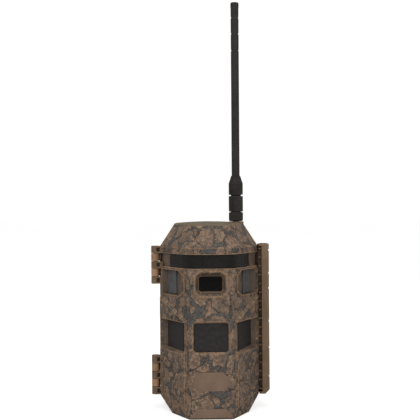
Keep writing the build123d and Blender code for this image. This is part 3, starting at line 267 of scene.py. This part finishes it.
def plastic(
    name, tone, dark, light, rough=0.55, grain_scale=2600.0, grain_depth=0.05 * MM,
    edge=0.5, shade_share=0.6, lines=0.0, **plain,
):
    """Moulded plastic: drifting tone, fine grain, painted highlights on edges, painted shade in corners and,
    if asked, fine level grooves drawn as darker lines of painted shade.
    """
    made, tree, surface, place = start(name, **plain)
    texture = place_group(tree, grain, Vector=place, Scale=grain_scale)
    edges = place_group(tree, painted_edge_highlight, Vector=place).outputs[0]
    base = blend(tree, texture.outputs["Drift"], dark, tone)
    # painted highlight: the pale tone laid on outside edges
    base = blend(tree, times(tree, edges, edge), base, light)
    speck = step(tree, noise(tree, place, 1500.0, 2.0), 0.62, 0.72, 0.0, 0.35)
    base = blend(tree, speck, base, dark)
    # painted shade: fine grooves drawn as darker lines in the colour
    if lines:
        grooves = add(
            tree, "ShaderNodeTexWave", {"bands_direction": "Z"},
            Vector=place, Scale=250.0, Distortion=0.6, Detail=2.0,
        ).outputs[1]
        base = blend(tree, times(tree, grooves, lines), base, darker(dark, 0.4))
    # painted shade: corners, gaps and recesses darkened toward the dark tone
    corner_shade = place_group(tree, painted_corner_shade, Vector=place).outputs[0]
    base = blend(tree, times(tree, corner_shade, shade_share), base, darker(dark, 0.22))
    tree.links.new(base, surface.inputs["Base Color"])
    roughness = step(tree, texture.outputs["Height"], 0.3, 0.7, rough - 0.07, rough + 0.07)
    tree.links.new(roughness, surface.inputs["Roughness"])
    bump(tree, surface, texture.outputs["Height"], 0.5, grain_depth)
    return made


def shifted(tree, place, scale, reach, detail=4.0, roughness=0.62):
    """Coordinates pushed about by noise, so that lines drawn with them wander."""
    wander = noise_shift(tree, place, scale, detail, roughness)
    middle = (0.5, 0.5, 0.5)
    centred = add(tree, "ShaderNodeVectorMath", {"operation": "SUBTRACT"}, i0=wander, i1=middle).outputs[0]
    return add(
        tree, "ShaderNodeVectorMath", {"operation": "MULTIPLY_ADD"},
        i0=centred, i1=(reach, reach, reach), i2=place,
    ).outputs[0]


def ridge(tree, value, centre, core, soft):
    """One where a value is close to its centre, falling to nought beyond."""
    off = maths(tree, "ABSOLUTE", minus(tree, value, centre))
    return step(tree, off, core, soft, 1.0, 0.0)


def bark_print(name):
    """Printed cracked-bark camouflage: brown plates parted by grey cracks with dark and light borders."""
    made, tree, surface, place = start(name)
    surface.inputs["Specular IOR Level"].default_value = 0.3
    # main cracks
    plates_per_metre = 66.0
    wandering = shifted(tree, place, 90.0, 16.0 * MM)
    tall = add(tree, "ShaderNodeMapping", Vector=wandering, Scale=(1.12, 1.0, 0.84)).outputs[0]
    main = add(
        tree, "ShaderNodeTexVoronoi", {"feature": "DISTANCE_TO_EDGE"}, Vector=tall, Scale=plates_per_metre
    ).outputs[0]
    ragged = noise(tree, place, 480.0, 5.0, 0.68)
    broad = noise(tree, place, 60.0, 3.0)
    width = step(tree, broad, 0.34, 0.7, 0.006, 0.092)
    depth = plus(tree, main, times(tree, minus(tree, ragged, 0.5), 0.11))
    crack = step(tree, depth, width, plus(tree, width, 0.012), 1.0, 0.0)
    line = ridge(tree, depth, plus(tree, width, 0.01), 0.004, 0.02)
    rim = ridge(tree, depth, plus(tree, width, 0.06), 0.008, 0.05)
    # plates
    patches = noise(tree, shifted(tree, place, 200.0, 0.004), 150.0, 6.0, 0.7)
    tones = tree.nodes.new("ShaderNodeValToRGB")
    tree.links.new(patches, tones.inputs[0])
    tones.color_ramp.elements[0].position = 0.32
    tones.color_ramp.elements[0].color = colour(102, 86, 74)
    tones.color_ramp.elements[1].position = 0.70
    tones.color_ramp.elements[1].color = colour(148, 124, 103)
    middle = tones.color_ramp.elements.new(0.5)
    middle.color = colour(126, 106, 90)
    plate = tones.outputs[0]
    warm = step(tree, noise(tree, place, 115.0, 4.0, 0.6), 0.52, 0.68, 0.0, 0.45)
    plate = blend(tree, warm, plate, colour(152, 117, 90))
    cool_patches = noise(tree, shifted(tree, place, 150.0, 10.0 * MM), 92.0, 4.0, 0.66)
    cool = step(tree, cool_patches, 0.55, 0.63, 0.0, 0.7)
    plate = blend(tree, cool, plate, colour(92, 86, 79))
    plate = blend(tree, times(tree, rim, 0.3), plate, colour(154, 124, 97))
    mottle = noise(tree, shifted(tree, place, 300.0, 0.003), 400.0, 5.0, 0.7)
    plate = blend(tree, 1.0, plate, step(tree, mottle, 0.36, 0.64, 0.62, 1.34), "MULTIPLY")
    # grain lines, short cracks and pits inside the plates
    for scale, reach, thin, strength in ((210.0, 0.010, 0.012, 0.8), (520.0, 0.004, 0.02, 0.6)):
        winding = noise(tree, shifted(tree, place, scale * 1.6, reach), scale, 3.0, 0.55)
        gate = step(tree, noise(tree, place, scale * 0.45, 2.0), 0.42, 0.54)
        squiggle = times(tree, ridge(tree, winding, 0.5, thin * 0.3, thin), gate)
        plate = blend(tree, times(tree, squiggle, strength), plate, colour(50, 42, 37))
    pits = step(tree, noise(tree, place, 1150.0, 3.0, 0.7), 0.57, 0.64)
    plate = blend(tree, times(tree, pits, 0.7), plate, colour(60, 51, 46))
    sparks = step(tree, noise(tree, place, 800.0, 3.0, 0.7), 0.6, 0.68)
    plate = blend(tree, times(tree, sparks, 0.5), plate, colour(166, 135, 108))
    # cracks
    grey = blend(
        tree, step(tree, noise(tree, place, 600.0, 4.0, 0.65), 0.38, 0.64),
        colour(72, 70, 68), colour(98, 94, 89),
    )
    base = blend(tree, crack, plate, grey)
    base = blend(tree, times(tree, line, 0.85), base, colour(40, 34, 30))
    # plain walls of the window recesses
    recess = place_group(tree, window_recess, Vector=place).outputs[0]
    plain = blend(tree, step(tree, patches, 0.3, 0.7), colour(96, 83, 71), colour(116, 100, 85))
    split = add(tree, "ShaderNodeSeparateXYZ", i0=place)
    # painted shade: the centre lens frame's funnel walls get a darker plain colour
    centre_funnel_shade = times(
        tree, step(tree, maths(tree, "ABSOLUTE", split.outputs[0]), 17.0 * MM, 18.0 * MM, 1.0, 0.0),
        step(tree, split.outputs[2], 90.0 * MM, 95.0 * MM),
    )
    plain = blend(tree, centre_funnel_shade, plain, colour(80, 70, 61))
    base = blend(tree, times(tree, recess, 0.85), base, plain)
    # plain roof
    heading = add(tree, "ShaderNodeSeparateXYZ", i0=add(tree, "ShaderNodeNewGeometry").outputs["Normal"])
    roof = times(
        tree, step(tree, heading.outputs[2], 0.7, 0.85), step(tree, split.outputs[2], 150.0 * MM, 152.0 * MM)
    )
    bare = blend(tree, step(tree, patches, 0.3, 0.7), colour(106, 92, 74), colour(124, 108, 86))
    base = blend(tree, roof, base, bare)
    # painted highlight: tan laid on outside edges and rims
    edges = place_group(tree, painted_edge_highlight, Vector=place, Radius=1.1 * MM).outputs[0]
    base = blend(tree, times(tree, edges, 0.9), base, colour(168, 134, 100))
    # painted shade: corners, gaps and recesses darkened nearly to black
    corner_shade = place_group(tree, painted_corner_shade, Vector=place, Distance=5.0 * MM).outputs[0]
    base = blend(tree, times(tree, corner_shade, 0.75), base, colour(30, 25, 21))
    tree.links.new(base, surface.inputs["Base Color"])
    texture = place_group(tree, grain, Vector=place, Scale=2200.0)
    tree.links.new(step(tree, texture.outputs["Height"], 0.3, 0.7, 0.5, 0.64), surface.inputs["Roughness"])
    bump(tree, surface, texture.outputs["Height"], 0.45, 0.00006)
    return made


def metal(name, tone, dark, rough=0.3):
    """Turned or plated metal with faint streaks."""
    made, tree, surface, place = start(name, Metallic=1.0)
    drawn_out = add(tree, "ShaderNodeMapping", Vector=place, Scale=(1.0, 1.0, 12.0)).outputs[0]
    streaks = noise(tree, drawn_out, 700.0)
    tree.links.new(blend(tree, step(tree, streaks, 0.3, 0.7), dark, tone), surface.inputs["Base Color"])
    tree.links.new(step(tree, streaks, 0.3, 0.7, rough - 0.06, rough + 0.08), surface.inputs["Roughness"])
    bump(tree, surface, streaks, 0.15, 0.00003)
    return made


def smoked(name, tone, rough):
    """Smoked infrared-passing plastic with faint haze."""
    made, tree, surface, place = start(name, Coat_Weight=0.1, Coat_Roughness=0.25)
    haze = noise(tree, place, 240.0, 4.0, 0.6)
    tree.links.new(
        blend(tree, step(tree, haze, 0.35, 0.7), tone, darker(tone, 1.35)),
        surface.inputs["Base Color"],
    )
    tree.links.new(step(tree, haze, 0.3, 0.7, rough - 0.05, rough + 0.05), surface.inputs["Roughness"])
    bump(tree, surface, noise(tree, place, 1800.0, 2.0), 0.12, 0.00002)
    return made


def sensor_sheet(name):
    """Dark moulded sheet whose back carries a grid of ring lenses."""
    made, tree, surface, place = start(name)
    rings = add(
        tree, "ShaderNodeTexWave", {"wave_type": "RINGS", "rings_direction": "SPHERICAL"},
        Vector=add(tree, "ShaderNodeTexVoronoi", Vector=place, Scale=150.0).outputs["Position"],
        Scale=900.0,
    ).outputs[1]
    haze = noise(tree, place, 300.0, 3.0)
    base = blend(tree, step(tree, haze, 0.3, 0.7), colour(44, 41, 40), colour(56, 52, 50))
    tree.links.new(base, surface.inputs["Base Color"])
    tree.links.new(step(tree, haze, 0.3, 0.7, 0.5, 0.62), surface.inputs["Roughness"])
    bump(tree, surface, rings, 0.08, 0.00003)
    return made


def glass(name, tint, clear):
    """Coated pane glass, slightly smeared; the rest of it that isn't clear is dark backing."""
    made, tree, surface, place = start(name, IOR=1.5, Transmission_Weight=clear)
    smear = noise(tree, place, 160.0, 4.0, 0.6)
    tree.links.new(
        blend(
            tree, step(tree, smear, 0.3, 0.7),
            darker(tint, 0.86), darker(tint, 1.06),
        ),
        surface.inputs["Base Color"],
    )
    tree.links.new(step(tree, smear, 0.45, 0.75, 0.015, 0.06), surface.inputs["Roughness"])
    return made


def cell_wrap(name):
    """Plain shrink wrap on the cells, with a pale ring near the tip and bare metal at both ends."""
    made, tree, surface, place = start(name, Roughness=0.3)
    low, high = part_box("battery_cells")
    row_pitch = 57.2 * MM
    wrap_end = 48.4 * MM
    height = add(tree, "ShaderNodeSeparateXYZ", i0=place).outputs[2]
    along = maths(tree, "MODULO", minus(tree, height, low.z), row_pitch)
    ring = ridge(tree, along, 44.0 * MM, 1.4 * MM, 1.6 * MM)
    foot = step(tree, along, 0.5 * MM, 0.6 * MM, 1.0, 0.0)
    bare = maths(tree, "MAXIMUM", step(tree, along, wrap_end, wrap_end + 0.1 * MM), foot)
    drift = place_group(tree, grain, Vector=place).outputs["Drift"]
    base = blend(tree, drift, colour(44, 52, 60), colour(54, 63, 72))
    base = blend(tree, ring, base, colour(150, 150, 146))
    base = blend(tree, bare, base, (0.6, 0.6, 0.58, 1.0))
    tree.links.new(base, surface.inputs["Base Color"])
    tree.links.new(bare, surface.inputs["Metallic"])
    return made


bark = bark_print("bark camouflage")
brown = plastic(
    "brown plastic", colour(126, 102, 79), colour(110, 89, 69), colour(152, 123, 93), rough=0.55, shade_share=0.92,
)
latch_brown = plastic(
    "latch plastic", colour(136, 110, 86), colour(118, 96, 75), colour(156, 126, 94),
    rough=0.55, shade_share=0.95, lines=0.3,
)
hinge_brown = plastic(
    "hinge plastic", colour(176, 136, 103), colour(154, 118, 89), colour(192, 152, 116),
    rough=0.55, shade_share=0.98,
)
tan = plastic("tan plate", colour(130, 106, 88), colour(118, 96, 79), colour(154, 126, 102), rough=0.6)
black = plastic("black plastic", colour(46, 44, 42), colour(36, 34, 33), colour(74, 71, 68), rough=0.42)
mast_black = plastic("antenna plastic", colour(56, 53, 51), colour(47, 45, 43), colour(72, 69, 66), rough=0.5)
collar_black = plastic(
    "collar plastic", colour(56, 52, 49), colour(42, 38, 35), colour(86, 80, 73), rough=0.45,
)
grey = plastic("grey plate", colour(98, 97, 94), colour(84, 83, 81), colour(128, 126, 122), rough=0.55)
rubber = plastic("soft rubber", colour(34, 33, 32), colour(26, 25, 25), colour(50, 48, 46), rough=0.75)
keys = plastic("key rubber", colour(150, 148, 144), colour(130, 128, 124), colour(180, 178, 172), rough=0.6)
brass = metal("brass", (0.72, 0.52, 0.24, 1.0), (0.48, 0.33, 0.14, 1.0))
steel = metal("plated steel", (0.62, 0.62, 0.63, 1.0), (0.42, 0.42, 0.44, 1.0))
gold_spring = metal("plated spring", (0.7, 0.68, 0.62, 1.0), (0.5, 0.48, 0.44, 1.0), 0.22)
band = smoked("smoked band", colour(30, 28, 27), 0.3)
sensor = sensor_sheet("sensor sheet")
pane = glass("lens glass", (0.62, 0.64, 0.66), 1.0)
dark_pane = glass("dark pane", (0.02, 0.02, 0.022), 1.0)
side_pane = glass("side pane", (0.155, 0.155, 0.16), 0.3)
board = plastic("green board", colour(24, 88, 52), colour(16, 66, 38), colour(120, 110, 60), rough=0.35)
lamp = smoked("lamp resin", colour(70, 60, 84), 0.12)
cell = cell_wrap("cell wrap")
lcd = smoked("screen glass", colour(20, 24, 26), 0.12)

finishes = (
    (bark, "front_cover cover_posts"),
    (brown, "rear_housing strap_ribs latch_lugs cover_knuckles"),
    (latch_brown, "latch_lever"),
    (hinge_brown, "case_knuckles"),
    (tan, "name_plate emblem_plate"),
    (black, "battery_tray power_jack lens_barrels key_switches power_switch_body memory_card"),
    (mast_black, "antenna_mast antenna_tip"),
    (collar_black, "antenna_base antenna_sleeve antenna_nut"),
    (grey, "inner_plate modem"),
    (rubber, "gasket jack_plug"),
    (keys, "ok_button up_button down_button left_button right_button power_switch"),
    (brass, "tripod_insert antenna_connector connector_nut"),
    (steel, "upper_hinge_pin lower_hinge_pin latch_pin plate_screws pir_sensors card_holder"),
    (gold_spring, "battery_springs battery_contacts"),
    (band, "led_window"),
    (sensor, "centre_pir_window left_pir_window right_pir_window"),
    (dark_pane, "centre_lens_pane"),
    (side_pane, "left_lens_pane right_lens_pane"),
    (pane, "lens_glasses"),
    (board, "led_board sensor_boards pir_boards main_board"),
    (lamp, "infrared_lamps"),
    (cell, "battery_cells"),
    (lcd, "screen"),
)
for finish, names in finishes:
    for name in names.split():
        slots = nodes[name].data.materials
        slots.clear()
        slots.append(finish)

# ---------------------------------------------------------------- new pieces


def spring_coils():
    """Conical coils under the cells, in place of the springs' plain sleeves."""
    low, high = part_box("battery_springs")
    outer = 4.5 * MM
    tall = 4.0 * MM
    wire = 0.35 * MM
    turns = 3.5
    steps = 84
    columns = 4
    coils = bmesh.new()
    stand = Matrix.Translation((outer - wire, 0.0, wire)) @ Matrix.Rotation(math.radians(90.0), 4, "X")
    section = bmesh.ops.create_circle(coils, segments=8, radius=wire, matrix=stand)
    rise = (tall - 2 * wire) / steps
    bmesh.ops.spin(
        coils, geom=section["verts"] + coils.edges[:], cent=(0.0, 0.0, 0.0), axis=(0.0, 0.0, 1.0),
        dvec=(0.0, 0.0, rise), angle=2.0 * math.pi * turns, steps=steps,
    )
    bmesh.ops.holes_fill(coils, edges=[edge for edge in coils.edges if edge.is_boundary], sides=8)
    bmesh.ops.recalc_face_normals(coils, faces=coils.faces)
    for vertex in coils.verts:
        narrow = 1.0 - 0.22 * vertex.co.z / tall
        vertex.co.x *= narrow
        vertex.co.y *= narrow
    first = coils.verts[:] + coils.edges[:] + coils.faces[:]
    pitch = (high.x - low.x - 2 * outer) / (columns - 1)
    corner = Vector((low.x + outer, (low.y + high.y) / 2, low.z))
    for column in range(columns):
        for base in (0.0, high.z - tall - low.z):
            if column == 0 and base == 0.0:
                continue
            copy = bmesh.ops.duplicate(coils, geom=first)["geom"]
            bmesh.ops.translate(
                coils, verts=[part for part in copy if isinstance(part, bmesh.types.BMVert)],
                vec=(column * pitch, 0.0, base),
            )
    bmesh.ops.translate(coils, verts=coils.verts, vec=corner)
    mesh = bpy.data.meshes.new("spring_coils")
    coils.to_mesh(mesh)
    coils.free()
    mesh.shade_smooth()
    piece = bpy.data.objects.new("spring_coils", mesh)
    bpy.context.scene.collection.objects.link(piece)
    mesh.materials.append(gold_spring)
    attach(piece, "rear_case")
    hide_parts("battery_springs")


spring_coils()

# ---------------------------------------------------------------- studio


def stage_floor():
    """Pale floor, a broad disc with a soft drift of tone."""
    mesh = bpy.data.meshes.new("studio_floor")
    made = bmesh.new()
    bmesh.ops.create_circle(made, cap_ends=True, segments=96, radius=14.0)
    made.to_mesh(mesh)
    made.free()
    floor = bpy.data.objects.new("studio_floor", mesh)
    bpy.context.scene.collection.objects.link(floor)
    material, tree, surface, place = start("pale floor", Roughness=1.0)
    soft = noise(tree, place, 2.0, 2.0)
    pale = blend(tree, soft, (0.5, 0.5, 0.5, 1.0), (0.54, 0.54, 0.54, 1.0))
    paths = add(tree, "ShaderNodeLightPath")
    mirrored = blend(tree, paths.outputs["Is Glossy Ray"], pale, (0.2, 0.2, 0.2, 1.0))
    tree.links.new(mirrored, surface.inputs["Base Color"])
    surface.inputs["Specular IOR Level"].default_value = 0.0
    surface.inputs["Emission Color"].default_value = (1.0, 1.0, 1.0, 1.0)
    glow = times(tree, paths.outputs["Is Camera Ray"], 0.68)
    tree.links.new(glow, surface.inputs["Emission Strength"])
    mesh.materials.append(material)


def stage_light():
    """White surroundings, darker in front as seen in reflections, and soft lamps."""
    world = bpy.data.worlds.new("studio")
    bpy.context.scene.world = world
    world.use_nodes = True
    tree = world.node_tree
    fill = tree.nodes["Background"]
    fill.inputs[0].default_value = (1.0, 1.0, 1.0, 1.0)
    paths = add(tree, "ShaderNodeLightPath")
    facing = add(tree, "ShaderNodeSeparateXYZ", i0=tree.nodes.new("ShaderNodeTexCoord").outputs["Generated"])
    mirrored = step(tree, facing.outputs[1], -0.3, 0.3, 0.03, 0.25)
    soft = step(tree, facing.outputs[2], -0.4, 0.7, 0.44, 0.62)
    level = plus(
        tree, times(tree, paths.outputs["Is Glossy Ray"], mirrored),
        times(tree, minus(tree, 1.0, paths.outputs["Is Glossy Ray"]), soft),
    )
    seen = paths.outputs["Is Camera Ray"]
    level = plus(
        tree, times(tree, seen, 1.05),
        times(tree, minus(tree, 1.0, seen), level),
    )
    tree.links.new(level, fill.inputs[1])
    for name, place, size, tall, power in (
        ("key", (-0.75, -1.05, 0.75), 0.5, 0.8, 4.8),
        ("side", (0.75, -1.05, 0.55), 0.4, 0.8, 3.8),
        ("top", (0.0, -0.25, 1.3), 0.7, 0.7, 3.6),
        ("strip", (0.088, -1.12, 0.16), 0.03, 0.3, 0.02),
        ("back", (0.5, 1.15, 0.6), 0.6, 0.8, 3.0),
    ):
        data = bpy.data.lights.new(name, "AREA")
        data.shape = "RECTANGLE"
        data.energy = power
        data.size = size
        data.size_y = tall
        lamp_object = bpy.data.objects.new(name, data)
        lamp_object.location = place
        lamp_object.rotation_euler = (Vector((0, 0, 0.1)) - Vector(place)).to_track_quat("-Z", "Y").to_euler()
        lamp_object.visible_glossy = name == "strip"
        bpy.context.scene.collection.objects.link(lamp_object)


def stage_camera():
    """Camera a little to the left, level with the top of the case."""
    eye_height = 0.1753
    distance = 0.756
    turn = math.radians(2.0)
    roll = math.radians(-0.4)
    target = Vector((0.0013, -0.014, eye_height))
    data = bpy.data.cameras.new("camera")
    data.sensor_width = 36.0
    data.lens = 36.0 * 850 / 420
    camera = bpy.data.objects.new("camera", data)
    camera.location = target + Vector((-math.sin(turn) * distance, -math.cos(turn) * distance, 0.0))
    aim = (target - camera.location).to_track_quat("-Z", "Y").to_matrix()
    camera.rotation_euler = (aim @ Matrix.Rotation(roll, 3, "Z")).to_euler()
    bpy.context.scene.collection.objects.link(camera)
    bpy.context.scene.camera = camera


stage_floor()
stage_light()
stage_camera()
bpy.context.scene.view_settings.view_transform = "Standard"
